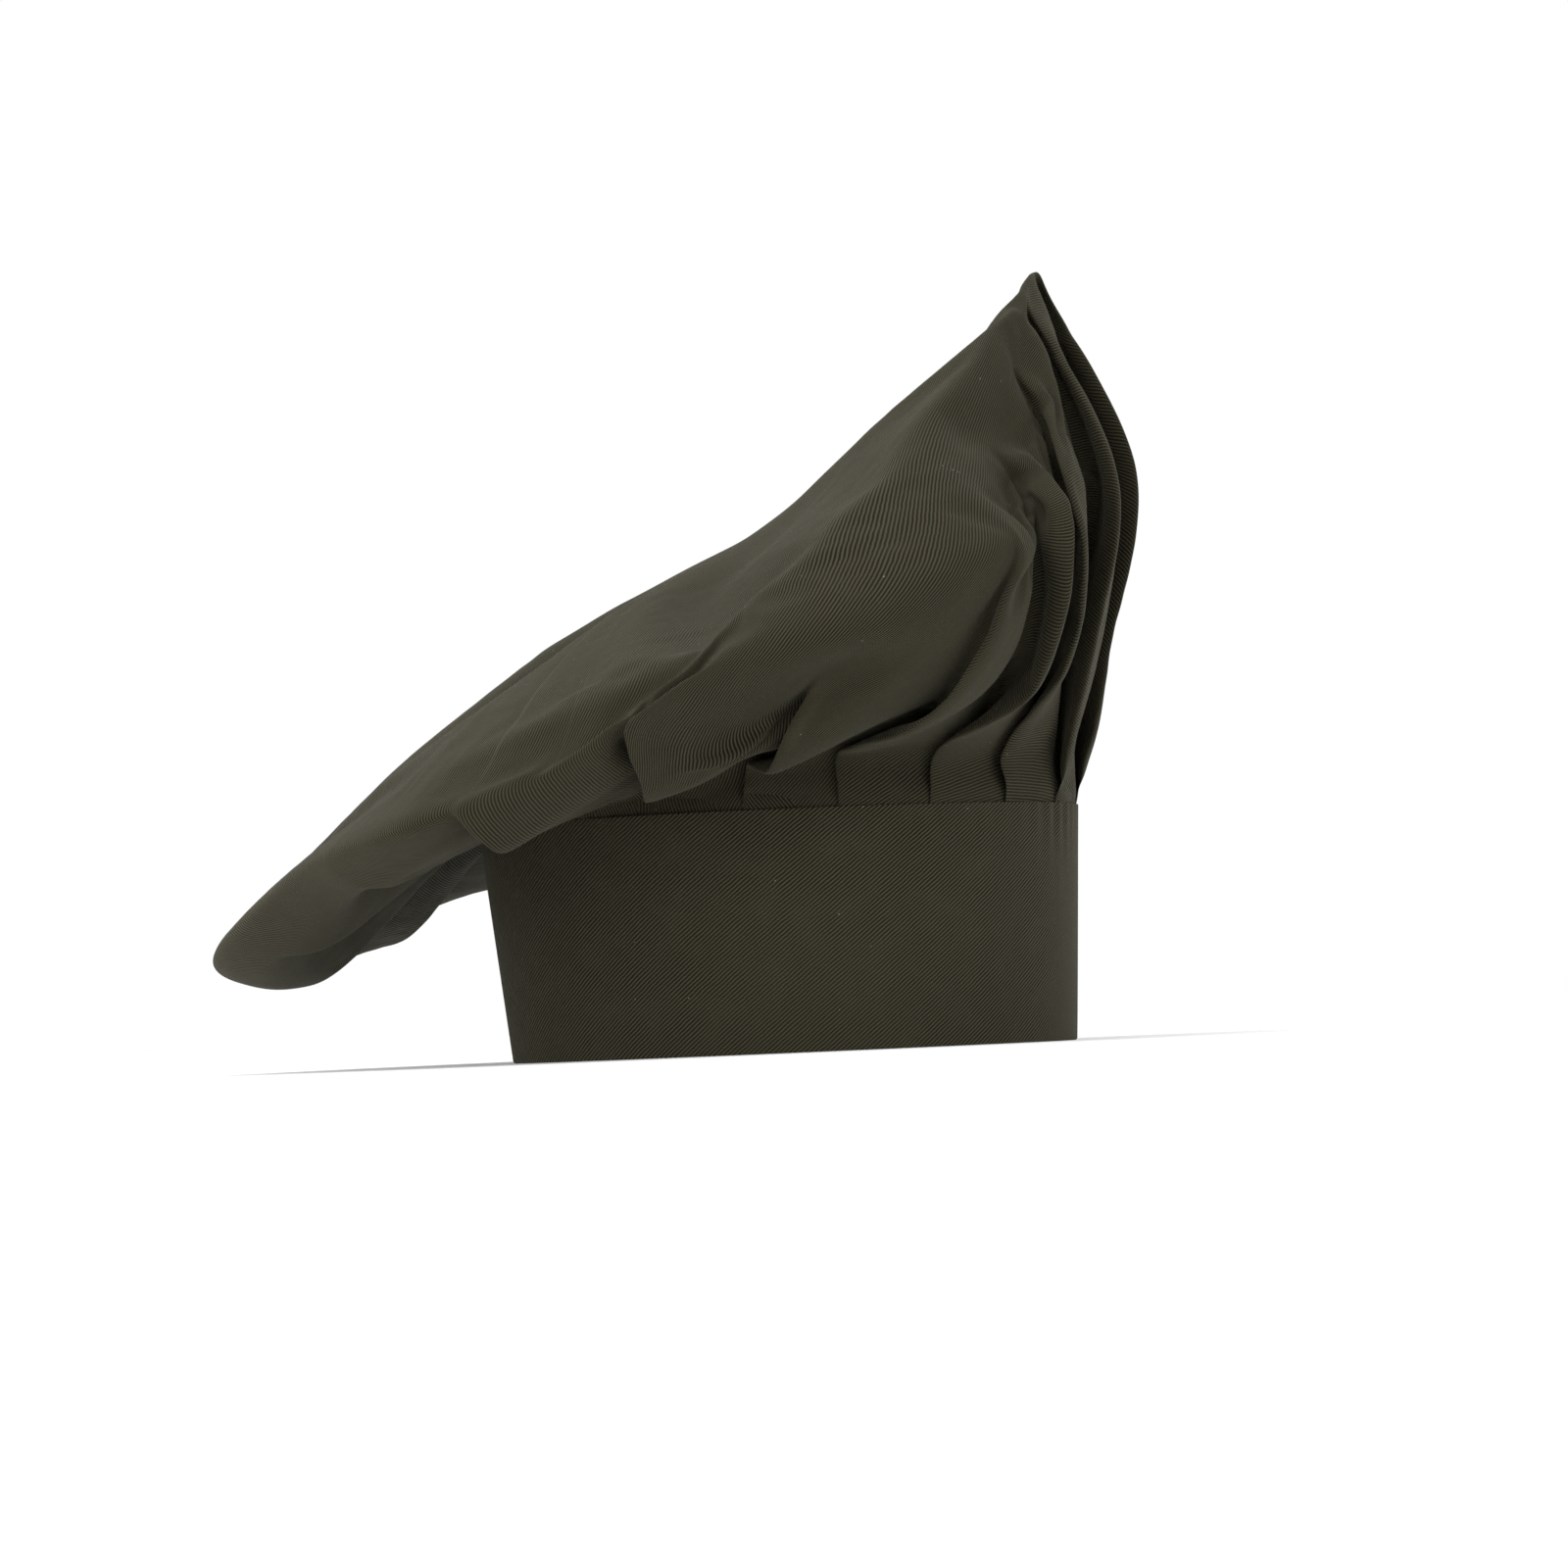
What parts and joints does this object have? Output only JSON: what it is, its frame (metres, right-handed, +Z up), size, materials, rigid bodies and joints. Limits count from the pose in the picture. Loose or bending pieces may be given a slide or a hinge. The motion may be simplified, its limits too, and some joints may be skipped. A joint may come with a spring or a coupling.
{
  "type": "chef toque",
  "caption": "Pleated soft chef hat with a floppy twill crown that slopes down to the back, on a stiff upright band closed behind by a hook-and-loop tab.",
  "frame": {"origin": "centre of the head opening in the plane of the band's bottom fold", "axes": "+Z up through the crown, +X to the front of the head, +Y to the wearer's left"},
  "size_m": [0.3418, 0.3494, 0.2766],
  "materials": {
    "twill": "matte cotton twill, washed black",
    "band_twill": "matte cotton twill, pressed flat",
    "interlining": "stiff non-woven",
    "tape": "woven nylon fastening tape",
    "thread": "polyester sewing thread",
    "label": "plain woven satin, blank"
  },
  "bodies": {
    "band": {"band_cloth": "band_twill", "band_interlining": "interlining", "crown": "twill", "crown_seam_thread": "thread", "band_end_threads": "thread", "rear_slit_binding": "band_twill", "loop_tape": "tape", "loop_tape_thread": "thread"},
    "tab": {"tab_cloth": "band_twill", "tab_interlining": "interlining", "hook_tape": "tape", "hook_tape_thread": "thread", "tab_edge_thread": "thread"},
    "label": {"care_label": "label"}
  },
  "joints": [
    {"name": "tab_peel", "type": "hinge", "parent": "band", "child": "tab", "pos_m": [-0.09976, 0.01751, 0.029], "axis": [-0.1049, 0.01, 0.9944], "range_deg": [0, 22]},
    {"name": "label_flip", "type": "hinge", "parent": "band", "child": "label", "pos_m": [-0.0679, -0.0641, 0.0779], "axis": [0.8225, -0.5688, 0], "range_deg": [0, 75]}
  ]
}
